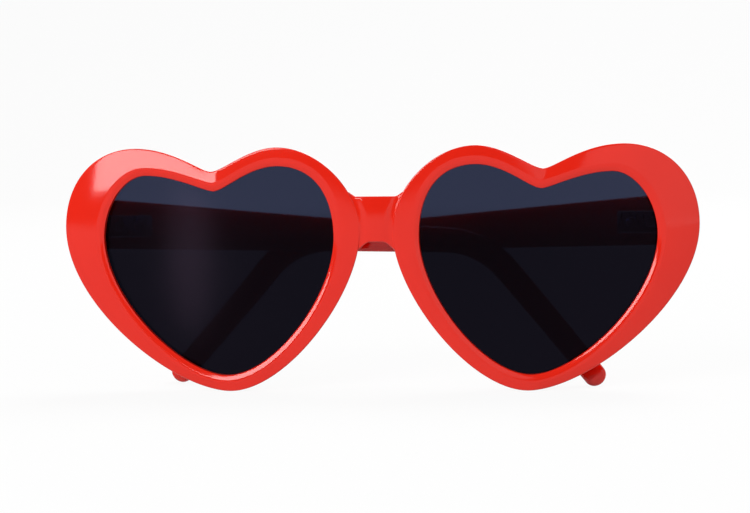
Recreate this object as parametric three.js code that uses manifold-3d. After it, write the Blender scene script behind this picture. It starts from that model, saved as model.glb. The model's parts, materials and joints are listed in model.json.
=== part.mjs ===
// Heart-shaped sunglasses for a cat or a small dog, folded and standing on the
// tips of the two rims and of the two temples.
// Millimetres. +Z is up, the front faces -Y and the wearer's left is +X.
// The origin is on the floor, under the middle of the folded glasses.

import * as THREE from "three";
import { mergeVertices } from "three/addons/utils/BufferGeometryUtils.js";
import Module from "manifold-3d";

const wasm = await Module();
wasm.setup();

// Front: two heart rims on one gently wrapped surface

const HEART_PITCH = 43.0; // between the clefts of the two hearts
const WRAP_RADIUS = 300; // of the front, seen from above
const RIM_DEPTH = 2.8; // ridge of the rim to its back
const STATIONS_PER_CURVE = 12; // each heart outline is six curves

// Lens opening, measured from the heart's cleft line and from the opening's lowest point
const OPENING_HEIGHT = 27.4; // to the top of the inner lobe
const OUTER_LOBE_DROP = 1.1; // top of the outer lobe below that of the inner one
const CLEFT_DROP = 3.2; // cleft below the top of the inner lobe
const WIDEST_HEIGHT = 18.2;
const OUTER_REACH = 14.9; // cleft line to the outer side
const INNER_REACH = 15.9; // cleft line to the inner side
const OUTER_LOBE_PLACE = 9.1; // cleft line to the top of the outer lobe
const INNER_LOBE_PLACE = 8.5; // cleft line to the top of the inner lobe
const TIP_INSET = 1.5; // tip on the inner side of the cleft line

const OUTWARD = new THREE.Vector2(1, 0);
const INWARD = new THREE.Vector2(-1, 0);
const UP = new THREE.Vector2(0, 1);
const DOWN = new THREE.Vector2(0, -1);

// Anchors of the opening, in order. The outline runs through each along travel, and before
// and after are the lengths of its two Bezier handles.
const OPENING = {
  cleft: { x: 0, z: OPENING_HEIGHT - CLEFT_DROP, travel: OUTWARD, before: 1.5, after: 1.2 },
  outerTop: {
    x: OUTER_LOBE_PLACE,
    z: OPENING_HEIGHT - OUTER_LOBE_DROP,
    travel: OUTWARD,
    before: 4.0,
    after: 3.1,
  },
  outerSide: { x: OUTER_REACH, z: WIDEST_HEIGHT, travel: DOWN, before: 4.0, after: 8.5 },
  tip: { x: -TIP_INSET, z: 0, travel: INWARD, before: 5.8, after: 6.0 },
  innerSide: { x: -INNER_REACH, z: WIDEST_HEIGHT, travel: UP, before: 7.9, after: 5.4 },
  innerTop: { x: -INNER_LOBE_PLACE, z: OPENING_HEIGHT, travel: OUTWARD, before: 4.9, after: 3.8 },
};

// The rim's outer edge: how far each anchor stands off the opening's, and its own handles.
const RIM_EDGE = {
  cleft: { dx: 0.3, dz: 2.6, before: 1.5, after: 1.3 },
  outerTop: { dx: 1.5, dz: 3.6, before: 5.2, after: 5.5 },
  outerSide: { dx: 5.5, dz: 1.2, before: 6.4, after: 10.4 },
  tip: { dx: -0.4, dz: -2.1, before: 7.5, after: 7.5 },
  innerSide: { dx: -3.5, dz: 0.7, before: 8.2, after: 5.5 },
  innerTop: { dx: 0, dz: 2.5, before: 5.5, after: 3.7 },
};

// Cross-section of the rim
const BEVEL_WIDTH = 0.55; // sloping band beside the lens
const BEVEL_DEPTH = 0.7;
const CROWN_DROP = 0.55; // fall of the front face from the ridge to the outer edge
const EDGE_ROUND = 0.6; // outer edges
const FRONT_LIP = 0.4; // holds the lens in front
const REAR_LIP_RELIEF = 0.3; // the rear lip is lower, so the lens snaps in from behind
const GROOVE_DEPTH = 0.7;

// Lenses
const LENS_THICKNESS = 1.0;
const LENS_CLEARANCE = 0.1; // lens to groove, on each side
const LENS_RINGS = 3;

// Bridge
const BRIDGE_HEIGHT = 6.2;
const BRIDGE_RISE = 1.95; // middle of the bridge above the widest line of the lens openings
const BRIDGE_RECESS = 0.5; // front of the bridge behind the rims' ridges
const BRIDGE_ROUND = 0.7;
const BRIDGE_WALL = 0.7; // left between the bridge's end and the lens groove
const BRIDGE_TOP_FLARE = 0.6; // each end rises by this
const BRIDGE_FOOT_FLARE = 1.6; // each end reaches this much lower
const BRIDGE_STRAIGHT = 1.2; // half length of the part with no flare
const BRIDGE_FLARE_STEPS = 4;

// Temples, measured from the hinge pin
const TEMPLE_ROOT_HEIGHT = 6.8;
const TEMPLE_BEND_HEIGHT = 3.3;
const TEMPLE_TIP_HEIGHT = 3.0;
const TEMPLE_ROOT_THICKNESS = 2.2;
const TEMPLE_BEND_THICKNESS = 1.7;
const TEMPLE_TIP_THICKNESS = 1.6;
const TEMPLE_TIP_LENGTH = 1.4; // rounded end of the hook
const TEMPLE_EDGE_ROUND = 0.5;
const TEMPLE_TO_BEND = 51.5; // pin to where the lines of arm and hook meet
const TEMPLE_RISE = 0.3; // the arm's middle line passes this far above the pin
const TEMPLE_DROOP = 3.1; // degrees, slope of the arm
const HOOK_ANGLE = 50; // degrees below the horizontal
const HOOK_BOW = 3.0; // the hook's tip curls towards the head by this
const BEND_RADIUS = 11;
const ARM_STEPS = 3;
const BEND_STEPS = 9;
const HOOK_STEPS = 6;
const TIP_STEPS = 6;

// Hinges: a three-knuckle metal hinge on each side
const HINGE_INSET = 3.8; // pin inside the rim's widest point
const KNUCKLE_RADIUS = 0.8;
const KNUCKLE_HEIGHT = 1.3;
const KNUCKLE_GAP = 0.08; // between knuckles, and from a knuckle to the other leaf
const PIN_RADIUS = 0.4;
const PIN_CLEARANCE = 0.05;
const PIN_HEAD_RADIUS = 0.75;
const PIN_HEAD_HEIGHT = 0.5;
const PIN_TAIL = 0.2; // end of the screw below the lowest knuckle
const SLOT_WIDTH = 0.25;
const SLOT_DEPTH = 0.22;
const LEAF_THICKNESS = 0.4;
const SEAT_GAP = 0.05; // between pieces that sit on each other
const FRONT_LEAF_HEIGHT = 8.4;
const FRONT_LEAF_INBOARD = 1.3; // edge of the front leaf inside the pin
const FRONT_LEAF_OUTBOARD = 0.85; // edge of the front leaf outside the pin
const FRONT_SCREW_SPREAD = 6.4;
const TEMPLE_LEAF_LENGTH = 6.2;
const TEMPLE_LEAF_HEIGHT = 2.9;
const TEMPLE_SCREW_SPREAD = 2.6;
const WEB_HALF_WIDTH = 0.6; // metal that joins a knuckle to its leaf
const OPEN_ANGLE = 95; // degrees from folded to the stop

// Small self-tapping screws that hold the leaves
const SCREW_RADIUS = 0.35;
const SCREW_CLEARANCE = 0.08;
const SCREW_HEAD_RADIUS = 0.65;
const SCREW_HEAD_HEIGHT = 0.35;
const SCREW_BITE = 1.2; // depth in the plastic
const SCREW_HOLE_SPARE = 0.2; // hole past the end of the screw

// End lugs: flat seats behind the rims that carry the hinges
const LUG_MARGIN = 0.25; // around the front leaf, above, below and inboard
const LUG_SET_BACK = 1.1; // lug inside the rim's widest point
const LUG_ROUND = 0.8;
const LUG_ROOT = 0.35; // overlap with the rim's back
const LUG_PROUD = 0.1; // lug face behind the rim's rearmost edge

const TEMPLE_STACK_GAP = 0.15; // between the temples where they cross when folded
const ROUND_LIMIT = 1 / 3; // a rounded edge takes at most this share of its wall
const CROWN_MIDDLE = 1 / 3; // share of the crown's drop that is reached halfway across the rim
const ROUND_SEGMENTS = 16;
const SMALL_SEGMENTS = 12;
const CORNER_STEPS = 3; // in each rounded corner of the bridge and the lugs
const TEMPLE_CORNER_STEPS = 2;
const MERGE_DISTANCE = 1e-4;

// Sizes that follow from the ones above

const radians = THREE.MathUtils.degToRad;
const lerp = THREE.MathUtils.lerp;
const wrapSag = (x) => WRAP_RADIUS - Math.sqrt(WRAP_RADIUS ** 2 - x ** 2);

const heartX = HEART_PITCH / 2;
const openingBottom = -RIM_EDGE.tip.dz;
const openingAnchors = {};
const rimAnchors = {};
for (const [name, { x, z, travel, before, after }] of Object.entries(OPENING)) {
  const edge = RIM_EDGE[name];
  const at = new THREE.Vector2(heartX + x, openingBottom + z);
  openingAnchors[name] = { at, travel, before, after };
  rimAnchors[name] = {
    at: at.clone().add(new THREE.Vector2(edge.dx, edge.dz)),
    travel,
    before: edge.before,
    after: edge.after,
  };
}

const grooveFront = BEVEL_DEPTH + FRONT_LIP;
const grooveBack = grooveFront + LENS_THICKNESS + 2 * LENS_CLEARANCE;
const lensReach = GROOVE_DEPTH - LENS_CLEARANCE;

const rimSide = rimAnchors.outerSide.at;
const leafStandOff = KNUCKLE_RADIUS + KNUCKLE_GAP; // pin axis to the near side of either leaf
const seatStandOff = leafStandOff + LEAF_THICKNESS + SEAT_GAP; // pin axis to the plastic
const lugFace = RIM_DEPTH + wrapSag(rimSide.x) + LUG_PROUD;
const pin = new THREE.Vector3(rimSide.x - HINGE_INSET, lugFace + seatStandOff, rimSide.y);
const knucklePitch = KNUCKLE_HEIGHT + KNUCKLE_GAP;
const knuckleTop = knucklePitch + KNUCKLE_HEIGHT / 2;

// An opened temple turns past square by this much before its butt meets the lug.
const overOpen = radians(OPEN_ANGLE - 90);
const templeOuterFace = seatStandOff + TEMPLE_ROOT_THICKNESS;
// The butt leans with the arm's slope, so its lower edge leads by this.
const buttLead = (TEMPLE_ROOT_HEIGHT / 2) * Math.sin(radians(TEMPLE_DROOP));
const templeButt = -seatStandOff + templeOuterFace * Math.sin(overOpen) + SEAT_GAP + buttLead;

// The left temple folds over the right one, so it stays open by a few degrees.
const crossing = 2 * pin.x - TEMPLE_TO_BEND - TEMPLE_BEND_HEIGHT;
const foldLift = Math.atan((TEMPLE_BEND_THICKNESS + TEMPLE_STACK_GAP) / crossing);

const materials = {
  frame: new THREE.MeshStandardMaterial({ color: 0xe8322a, roughness: 0.28, metalness: 0 }),
  lens: new THREE.MeshStandardMaterial({
    color: 0x1c1e28,
    roughness: 0.06,
    metalness: 0,
    transparent: true,
    opacity: 0.88,
  }),
  hinge: new THREE.MeshStandardMaterial({ color: 0xc9c6bf, roughness: 0.32, metalness: 1 }),
  screw: new THREE.MeshStandardMaterial({ color: 0xa9a9ad, roughness: 0.3, metalness: 1 }),
};

// Solids: three.js geometry to a manifold and back

function solidOf(geometry) {
  const bare = geometry.index ? geometry.toNonIndexed() : geometry.clone();
  bare.deleteAttribute("normal");
  bare.deleteAttribute("uv");
  const merged = mergeVertices(bare, MERGE_DISTANCE);
  const vertProperties = merged.attributes.position.array;
  const triVerts = new Uint32Array(merged.index.array);
  return new wasm.Manifold(new wasm.Mesh({ numProp: 3, vertProperties, triVerts }));
}

function geometryOf(solid) {
  const mesh = solid.getMesh();
  const geometry = new THREE.BufferGeometry();
  geometry.setAttribute("position", new THREE.BufferAttribute(mesh.vertProperties, 3));
  geometry.setIndex(new THREE.BufferAttribute(mesh.triVerts, 1));
  geometry.computeVertexNormals();
  return geometry;
}

const joined = (geometries) => geometries.map(solidOf).reduce((a, b) => a.add(b));
const cutBy = (solid, geometries) => geometries.reduce((a, b) => a.subtract(solidOf(b)), solid);

function mirrored(geometry) {
  const copy = geometry.clone().scale(-1, 1, 1);
  const index = copy.index.array;
  for (let i = 0; i < index.length; i += 3) {
    [index[i + 1], index[i + 2]] = [index[i + 2], index[i + 1]];
  }
  return copy;
}

// A closed surface through equal rings of points. A looped skin joins its last ring to the
// first, and any other skin gets a fan of triangles to the middle of each end.
function skin(rings, looped) {
  const count = rings[0].length;
  const points = rings.flat();
  const faces = [];
  const spans = looped ? rings.length : rings.length - 1;
  for (let r = 0; r < spans; r += 1) {
    const here = r * count;
    const next = ((r + 1) % rings.length) * count;
    for (let i = 0; i < count; i += 1) {
      const j = (i + 1) % count;
      faces.push(here + i, here + j, next + j, here + i, next + j, next + i);
    }
  }
  if (!looped) {
    for (const [ring, turn] of [
      [0, true],
      [rings.length - 1, false],
    ]) {
      const middle = rings[ring].reduce((a, p) => a.add(p), new THREE.Vector3());
      const hub = points.push(middle.divideScalar(count)) - 1;
      for (let i = 0; i < count; i += 1) {
        const a = ring * count + i;
        const b = ring * count + ((i + 1) % count);
        faces.push(hub, ...(turn ? [b, a] : [a, b]));
      }
    }
  }
  return new THREE.BufferGeometry().setFromPoints(points).setIndex(faces);
}

function box(x0, x1, y0, y1, z0, z1) {
  const geometry = new THREE.BoxGeometry(x1 - x0, y1 - y0, z1 - z0);
  return geometry.translate((x0 + x1) / 2, (y0 + y1) / 2, (z0 + z1) / 2);
}

// A cylinder along Z between two heights
function post(radius, z0, z1, segments) {
  const geometry = new THREE.CylinderGeometry(radius, radius, z1 - z0, segments);
  return geometry.rotateX(Math.PI / 2).translate(0, 0, (z0 + z1) / 2);
}

// Corner of a rounded rectangle, as steps along an arc
function corner(x, y, radius, from, steps) {
  return Array.from({ length: steps + 1 }, (_, i) => {
    const angle = from + (i / steps) * (Math.PI / 2);
    return new THREE.Vector2(x + radius * Math.cos(angle), y + radius * Math.sin(angle));
  });
}

// Rounded rectangle, counter-clockwise from its right-hand top corner
function roundedRectangle(x0, x1, y0, y1, radius, steps) {
  return [
    ...corner(x1 - radius, y1 - radius, radius, 0, steps),
    ...corner(x0 + radius, y1 - radius, radius, Math.PI / 2, steps),
    ...corner(x0 + radius, y0 + radius, radius, Math.PI, steps),
    ...corner(x1 - radius, y0 + radius, radius, 1.5 * Math.PI, steps),
  ];
}

// Heart outlines

function heartPoints(anchors) {
  const around = Object.values(anchors);
  return around.flatMap((from, i) => {
    const to = around[(i + 1) % around.length];
    const curve = new THREE.CubicBezierCurve(
      from.at,
      from.at.clone().addScaledVector(from.travel, from.after),
      to.at.clone().addScaledVector(to.travel, -to.before),
      to.at,
    );
    return curve.getPoints(STATIONS_PER_CURVE).slice(0, -1);
  });
}

const openingPoints = heartPoints(openingAnchors);
const rimPoints = heartPoints(rimAnchors);
const tipStation = Object.keys(OPENING).indexOf("tip") * STATIONS_PER_CURVE;

// A point of the wrapped front: offset across the rim from the opening, and depth behind the ridge
function onFront(station, across, depth) {
  const inner = openingPoints[station];
  const outward = rimPoints[station].clone().sub(inner).normalize();
  const at = inner.clone().addScaledVector(outward, across);
  return new THREE.Vector3(at.x, depth + wrapSag(at.x), at.y);
}

function rimSection(station) {
  const width = rimPoints[station].distanceTo(openingPoints[station]);
  const round = Math.min(EDGE_ROUND, width * ROUND_LIMIT);
  const nick = round * (1 - Math.SQRT1_2); // middle of a rounded edge
  const profile = [
    [0, BEVEL_DEPTH],
    [BEVEL_WIDTH, 0],
    [(BEVEL_WIDTH + width) / 2, CROWN_DROP * CROWN_MIDDLE],
    [width - round, CROWN_DROP],
    [width - nick, CROWN_DROP + nick],
    [width, CROWN_DROP + round],
    [width, RIM_DEPTH - round],
    [width - nick, RIM_DEPTH - nick],
    [width - round, RIM_DEPTH],
    [REAR_LIP_RELIEF, RIM_DEPTH],
    [REAR_LIP_RELIEF, grooveBack],
    [GROOVE_DEPTH, grooveBack],
    [GROOVE_DEPTH, grooveFront],
    [0, grooveFront],
  ];
  return profile.map(([across, depth]) => onFront(station, across, depth));
}

const stations = openingPoints.map((_, i) => i);

function rimGeometry() {
  return skin(stations.toReversed().map(rimSection), true);
}

// Bridge between the rims, flared where it runs into them

function bridgeGeometry() {
  const end = openingAnchors.innerSide.at.x - GROOVE_DEPTH - BRIDGE_WALL;
  const middle = openingAnchors.innerSide.at.y + BRIDGE_RISE;
  const section = (sign, share) => {
    const x = sign * lerp(BRIDGE_STRAIGHT, end, share);
    const top = BRIDGE_HEIGHT / 2 + BRIDGE_TOP_FLARE * share ** 2;
    const foot = -BRIDGE_HEIGHT / 2 - BRIDGE_FOOT_FLARE * share ** 2;
    const outline = roundedRectangle(BRIDGE_RECESS, RIM_DEPTH, foot, top, BRIDGE_ROUND, CORNER_STEPS);
    return outline.map((p) => new THREE.Vector3(x, p.x + wrapSag(x), middle + p.y));
  };
  const shares = Array.from({ length: BRIDGE_FLARE_STEPS + 1 }, (_, i) => i / BRIDGE_FLARE_STEPS);
  const rightHalf = shares.toReversed().map((share) => section(-1, share));
  const leftHalf = shares.map((share) => section(1, share));
  return skin([...rightHalf, ...leftHalf], false);
}

// End lug: a rounded block on the back of the rim, with a flat seat for the hinge

function lugGeometry() {
  const x0 = pin.x - FRONT_LEAF_INBOARD - LUG_MARGIN;
  const x1 = rimSide.x - LUG_SET_BACK;
  const half = FRONT_LEAF_HEIGHT / 2 + LUG_MARGIN;
  const root = RIM_DEPTH + wrapSag(x0) - LUG_ROOT;
  const outline = roundedRectangle(x0, x1, pin.z - half, pin.z + half, LUG_ROUND, CORNER_STEPS);
  const face = (y) => outline.map((p) => new THREE.Vector3(p.x, y, p.y));
  return skin([face(lugFace), face(root)], false);
}

// Places of the leaf screws, in the hinge's own frame

const frontScrewX = (FRONT_LEAF_OUTBOARD - FRONT_LEAF_INBOARD) / 2;
const frontScrewZ = { upper: FRONT_SCREW_SPREAD / 2, lower: -FRONT_SCREW_SPREAD / 2 };
const templeLeafStart = leafStandOff;
const templeLeafMiddle = templeLeafStart + TEMPLE_LEAF_LENGTH / 2;
const templeScrewY = {
  front: templeLeafMiddle - TEMPLE_SCREW_SPREAD / 2,
  rear: templeLeafMiddle + TEMPLE_SCREW_SPREAD / 2,
};

// The driver slot across a round head whose top is at the given height
function slot(radius, top) {
  const half = SLOT_WIDTH / 2;
  return box(-radius, radius, -half, half, top - SLOT_DEPTH, top + SLOT_DEPTH);
}

// A screw along +Z, with the face that it clamps at the origin
function screwGeometry() {
  const end = LEAF_THICKNESS + SEAT_GAP + SCREW_BITE;
  const head = post(SCREW_HEAD_RADIUS, SEAT_GAP, SEAT_GAP + SCREW_HEAD_HEIGHT, SMALL_SEGMENTS);
  const shank = post(SCREW_RADIUS, -end, SEAT_GAP + SCREW_HEAD_HEIGHT / 2, SMALL_SEGMENTS);
  const top = SEAT_GAP + SCREW_HEAD_HEIGHT;
  return geometryOf(cutBy(joined([head, shank]), [slot(SCREW_HEAD_RADIUS, top)]));
}

// The hole that a screw needs in its leaf and in the plastic under it
function screwHole() {
  const end = LEAF_THICKNESS + SEAT_GAP + SCREW_BITE + SCREW_HOLE_SPARE;
  return post(SCREW_RADIUS + SCREW_CLEARANCE, -end, SEAT_GAP, SMALL_SEGMENTS);
}

// Turns a screw, or its hole, from +Z to its place on the front leaf or the temple leaf
const onFrontLeaf = (geometry, z) =>
  geometry.rotateX(-Math.PI / 2).translate(frontScrewX, -leafStandOff, z);
const onTempleLeaf = (geometry, y) =>
  geometry.rotateY(-Math.PI / 2).translate(leafStandOff, y, 0);

function frontFrame() {
  const left = [rimGeometry(), lugGeometry()];
  const body = joined([...left, ...left.map(mirrored), bridgeGeometry()]);
  const holes = Object.values(frontScrewZ).map((z) =>
    onFrontLeaf(screwHole(), z).translate(pin.x, pin.y, pin.z),
  );
  return geometryOf(cutBy(body, [...holes, ...holes.map(mirrored)]));
}

// Lens: two heart-shaped faces on the wrapped front, shrunk ring by ring to the middle

function lensGeometry() {
  const front = grooveFront + LENS_CLEARANCE;
  const rim = stations.map((i) => onFront(i, lensReach, 0));
  const middle = rim[0].clone().lerp(rim[tipStation], 0.5);
  const ring = (depth, share) =>
    rim.map((p) => {
      const at = middle.clone().lerp(p, share);
      return new THREE.Vector3(at.x, depth + wrapSag(at.x), at.z);
    });
  const shares = Array.from({ length: LENS_RINGS }, (_, i) => (i + 1) / LENS_RINGS);
  return skin(
    [
      ...shares.map((share) => ring(front, share)),
      ...shares.toReversed().map((share) => ring(front + LENS_THICKNESS, share)),
    ],
    false,
  );
}

// Temple: a rounded section swept along the arm, round the bend and down the hook.
// It is made as if open, with the pin at the origin, the arm along +Y and the head on the -X side.

const heading = (angle) => new THREE.Vector2(Math.cos(angle), -Math.sin(angle));
const upright = (angle) => new THREE.Vector2(Math.sin(angle), Math.cos(angle));

// Stops along the temple: place of the section's middle, slope, size and curl towards the head
function templePath() {
  const droop = radians(TEMPLE_DROOP);
  const hook = radians(HOOK_ANGLE);
  const tangent = BEND_RADIUS * Math.tan((hook - droop) / 2);
  const bend = new THREE.Vector2(TEMPLE_TO_BEND, TEMPLE_RISE - TEMPLE_TO_BEND * Math.tan(droop));
  const start = new THREE.Vector2(templeButt, TEMPLE_RISE - templeButt * Math.tan(droop));
  const armEnd = bend.clone().addScaledVector(heading(droop), -tangent);
  const hookStart = bend.clone().addScaledVector(heading(hook), tangent);
  const tipDrop = Math.hypot(
    TEMPLE_TIP_LENGTH * Math.sin(hook),
    (TEMPLE_TIP_HEIGHT / 2) * Math.cos(hook),
  );
  const hookLength = (pin.z + bend.y - tipDrop) / Math.sin(hook);
  const hookEnd = bend.clone().addScaledVector(heading(hook), hookLength);

  const stops = [];
  for (let i = 0; i < ARM_STEPS; i += 1) {
    const share = i / ARM_STEPS;
    stops.push({
      at: start.clone().lerp(armEnd, share),
      angle: droop,
      height: lerp(TEMPLE_ROOT_HEIGHT, TEMPLE_BEND_HEIGHT, share),
      thickness: lerp(TEMPLE_ROOT_THICKNESS, TEMPLE_BEND_THICKNESS, share),
      bow: 0,
    });
  }
  const bendCentre = armEnd.clone().addScaledVector(upright(droop), -BEND_RADIUS);
  for (let i = 0; i <= BEND_STEPS; i += 1) {
    const angle = lerp(droop, hook, i / BEND_STEPS);
    stops.push({
      at: bendCentre.clone().addScaledVector(upright(angle), BEND_RADIUS),
      angle,
      height: TEMPLE_BEND_HEIGHT,
      thickness: TEMPLE_BEND_THICKNESS,
      bow: 0,
    });
  }
  for (let i = 1; i <= HOOK_STEPS; i += 1) {
    const share = i / HOOK_STEPS;
    stops.push({
      at: hookStart.clone().lerp(hookEnd, share),
      angle: hook,
      height: lerp(TEMPLE_BEND_HEIGHT, TEMPLE_TIP_HEIGHT, share),
      thickness: lerp(TEMPLE_BEND_THICKNESS, TEMPLE_TIP_THICKNESS, share),
      bow: HOOK_BOW * share ** 2,
    });
  }
  for (let i = 1; i < TIP_STEPS; i += 1) {
    const turn = (i / TIP_STEPS) * (Math.PI / 2);
    const thickness = TEMPLE_TIP_THICKNESS * Math.sqrt(Math.cos(turn));
    stops.push({
      at: hookEnd.clone().addScaledVector(heading(hook), TEMPLE_TIP_LENGTH * Math.sin(turn)),
      angle: hook,
      height: TEMPLE_TIP_HEIGHT * Math.cos(turn),
      thickness,
      bow: HOOK_BOW - (TEMPLE_TIP_THICKNESS - thickness) / 2,
    });
  }
  return stops;
}

function templeGeometry() {
  const rings = templePath().map(({ at, angle, height, thickness, bow }) => {
    const half = height / 2;
    const round = Math.min(TEMPLE_EDGE_ROUND, height * ROUND_LIMIT, thickness * ROUND_LIMIT);
    const inner = seatStandOff - bow;
    const outer = inner + thickness;
    const outline = roundedRectangle(inner, outer, -half, half, round, TEMPLE_CORNER_STEPS);
    const up = upright(angle);
    return outline.map((p) => new THREE.Vector3(p.x, at.x + up.x * p.y, at.y + up.y * p.y));
  });
  const holes = Object.values(templeScrewY).map((y) => onTempleLeaf(screwHole(), y));
  return geometryOf(cutBy(solidOf(skin(rings.toReversed(), false)), holes));
}

// Hinge leaves, with the pin at the origin

const pinBore = () =>
  post(PIN_RADIUS + PIN_CLEARANCE, -2 * knuckleTop, 2 * knuckleTop, ROUND_SEGMENTS);

function frontLeaf() {
  const half = FRONT_LEAF_HEIGHT / 2;
  const back = -leafStandOff - LEAF_THICKNESS;
  const plate = box(-FRONT_LEAF_INBOARD, FRONT_LEAF_OUTBOARD, back, -leafStandOff, -half, half);
  const knuckles = [-knuckleTop, knucklePitch - KNUCKLE_HEIGHT / 2].flatMap((z) => [
    post(KNUCKLE_RADIUS, z, z + KNUCKLE_HEIGHT, ROUND_SEGMENTS),
    box(-WEB_HALF_WIDTH, WEB_HALF_WIDTH, back, 0, z, z + KNUCKLE_HEIGHT),
  ]);
  const holes = Object.values(frontScrewZ).map((z) => onFrontLeaf(screwHole(), z));
  return geometryOf(cutBy(joined([plate, ...knuckles]), [pinBore(), ...holes]));
}

function templeLeaf() {
  const half = TEMPLE_LEAF_HEIGHT / 2;
  const back = leafStandOff + LEAF_THICKNESS;
  const end = templeLeafStart + TEMPLE_LEAF_LENGTH;
  const plate = box(leafStandOff, back, templeLeafStart, end, -half, half);
  const low = -KNUCKLE_HEIGHT / 2;
  const knuckle = post(KNUCKLE_RADIUS, low, -low, ROUND_SEGMENTS);
  const arm = box(leafStandOff - WEB_HALF_WIDTH, back, 0, templeLeafStart + WEB_HALF_WIDTH, low, -low);
  const neck = box(0, leafStandOff, -WEB_HALF_WIDTH, WEB_HALF_WIDTH, low, -low);
  const holes = Object.values(templeScrewY).map((y) => onTempleLeaf(screwHole(), y));
  return geometryOf(cutBy(joined([plate, knuckle, arm, neck]), [pinBore(), ...holes]));
}

function hingeScrew() {
  const headBottom = knuckleTop + SEAT_GAP;
  const top = headBottom + PIN_HEAD_HEIGHT;
  const head = post(PIN_HEAD_RADIUS, headBottom, top, ROUND_SEGMENTS);
  const tail = -knuckleTop - PIN_TAIL;
  const shank = post(PIN_RADIUS, tail, headBottom + PIN_HEAD_HEIGHT / 2, ROUND_SEGMENTS);
  return geometryOf(cutBy(joined([head, shank]), [slot(PIN_HEAD_RADIUS, top)]));
}

// Assembly

function piece(name, geometry, material) {
  const mesh = new THREE.Mesh(geometry, material);
  mesh.name = name;
  return mesh;
}

// One side of the glasses, drawn on the wearer's left and mirrored for the right
function side(name, sign, lift) {
  const group = new THREE.Group();
  group.scale.x = sign;
  group.add(piece(`lens_${name}`, lensGeometry(), materials.lens));

  const hinge = new THREE.Group();
  hinge.position.copy(pin);
  hinge.add(piece(`hinge_front_leaf_${name}`, frontLeaf(), materials.hinge));
  hinge.add(piece(`hinge_screw_${name}`, hingeScrew(), materials.screw));
  for (const [place, z] of Object.entries(frontScrewZ)) {
    const screw = onFrontLeaf(screwGeometry(), z);
    hinge.add(piece(`front_leaf_screw_${place}_${name}`, screw, materials.screw));
  }

  const arm = new THREE.Group();
  arm.rotation.z = Math.PI / 2 - lift;
  arm.add(piece(`temple_${name}`, templeGeometry(), materials.frame));
  arm.add(piece(`hinge_temple_leaf_${name}`, templeLeaf(), materials.hinge));
  for (const [place, y] of Object.entries(templeScrewY)) {
    const screw = onTempleLeaf(screwGeometry(), y);
    arm.add(piece(`temple_leaf_screw_${place}_${name}`, screw, materials.screw));
  }
  hinge.add(arm);
  group.add(hinge);
  return group;
}

const glasses = new THREE.Group();
glasses.add(piece("front_frame", frontFrame(), materials.frame));
glasses.add(side("left", 1, foldLift), side("right", -1, 0));

// Stand the glasses on the floor, with the origin under their middle
const bounds = new THREE.Box3().setFromObject(glasses, true);
const depthMiddle = (bounds.min.y + bounds.max.y) / 2;
glasses.children.forEach((child) => child.position.set(0, -depthMiddle, -bounds.min.z));

export default glasses;
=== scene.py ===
# %% [markdown]
# # Heart-shaped sunglasses for a small pet
# The glasses are a moulded red front with two smoke lenses, and two hooked temples folded
# behind it on small metal hinges. Their solids already exist at their real size, in a packed
# model. This lesson loads them as a fixed frame and builds a finer surface over each one.

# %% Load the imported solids
import json
import math

import bmesh
import bpy
from mathutils import Matrix, Vector
from mathutils.geometry import interpolate_bezier


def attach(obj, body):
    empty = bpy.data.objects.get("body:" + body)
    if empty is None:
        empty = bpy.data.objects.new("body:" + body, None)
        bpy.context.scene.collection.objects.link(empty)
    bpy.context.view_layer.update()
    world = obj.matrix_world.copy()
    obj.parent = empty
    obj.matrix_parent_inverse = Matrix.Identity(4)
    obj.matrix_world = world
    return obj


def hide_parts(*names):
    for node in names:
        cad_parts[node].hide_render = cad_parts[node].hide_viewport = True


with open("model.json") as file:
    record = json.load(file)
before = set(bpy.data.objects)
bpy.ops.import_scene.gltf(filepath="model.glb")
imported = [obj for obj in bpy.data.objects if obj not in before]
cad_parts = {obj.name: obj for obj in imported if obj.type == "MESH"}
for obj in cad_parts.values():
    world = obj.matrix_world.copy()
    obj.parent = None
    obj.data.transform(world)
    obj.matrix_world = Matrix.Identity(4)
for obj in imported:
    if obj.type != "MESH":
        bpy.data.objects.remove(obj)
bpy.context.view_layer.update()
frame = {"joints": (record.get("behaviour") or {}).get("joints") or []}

# %% [markdown]
# ## Units and the wrapped front
# Small things are easier to think about in millimetres, so every size here is in millimetres
# and turns into Blender's metres only when a mesh is made. The front is not flat: seen from
# above it follows a large circle. A function that gives the fall of that circle bends every
# piece of the front in the same way, which is simpler than a bend modifier on each.

# %% Millimetres, hinge pins and the front's curve
MM = 0.001
WRAP_RADIUS = 300.0
RIM_DEPTH = 2.8
HINGE_INSET = 3.8
LUG_PROUD = 0.1
KNUCKLE_RADIUS = 0.8
KNUCKLE_GAP = 0.08
LEAF_THICKNESS = 0.4
SEAT_GAP = 0.05

pins = {joint["child"]: Vector(joint["pos_m"]) / MM for joint in frame["joints"]}
pin = pins["temple_left"]


def sag(x):
    """How far the wrapped front falls back at a distance x from its middle."""
    return WRAP_RADIUS - math.sqrt(WRAP_RADIUS**2 - x**2)


rim_side = pin.x + HINGE_INSET
leaf_stand_off = KNUCKLE_RADIUS + KNUCKLE_GAP
seat_stand_off = leaf_stand_off + LEAF_THICKNESS + SEAT_GAP
lug_depth = RIM_DEPTH + sag(rim_side) + LUG_PROUD
front_y = pin.y - seat_stand_off - lug_depth


def on_front(x, z, depth):
    """A point at a depth behind the wrapped face of the front."""
    return Vector((x, front_y + depth + sag(x), z))


print("pin at", [round(v, 3) for v in pin], "mm, ridge line of the front at y", round(front_y, 3), "mm")

# %% [markdown]
# ## The camera
# The photograph was taken from a little to one side and a little above, with a slight tilt.
# A camera can be placed by eye or by its angles. Angles are used here, because a direction, a
# distance and a focal length give the same framing on every run.

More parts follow.
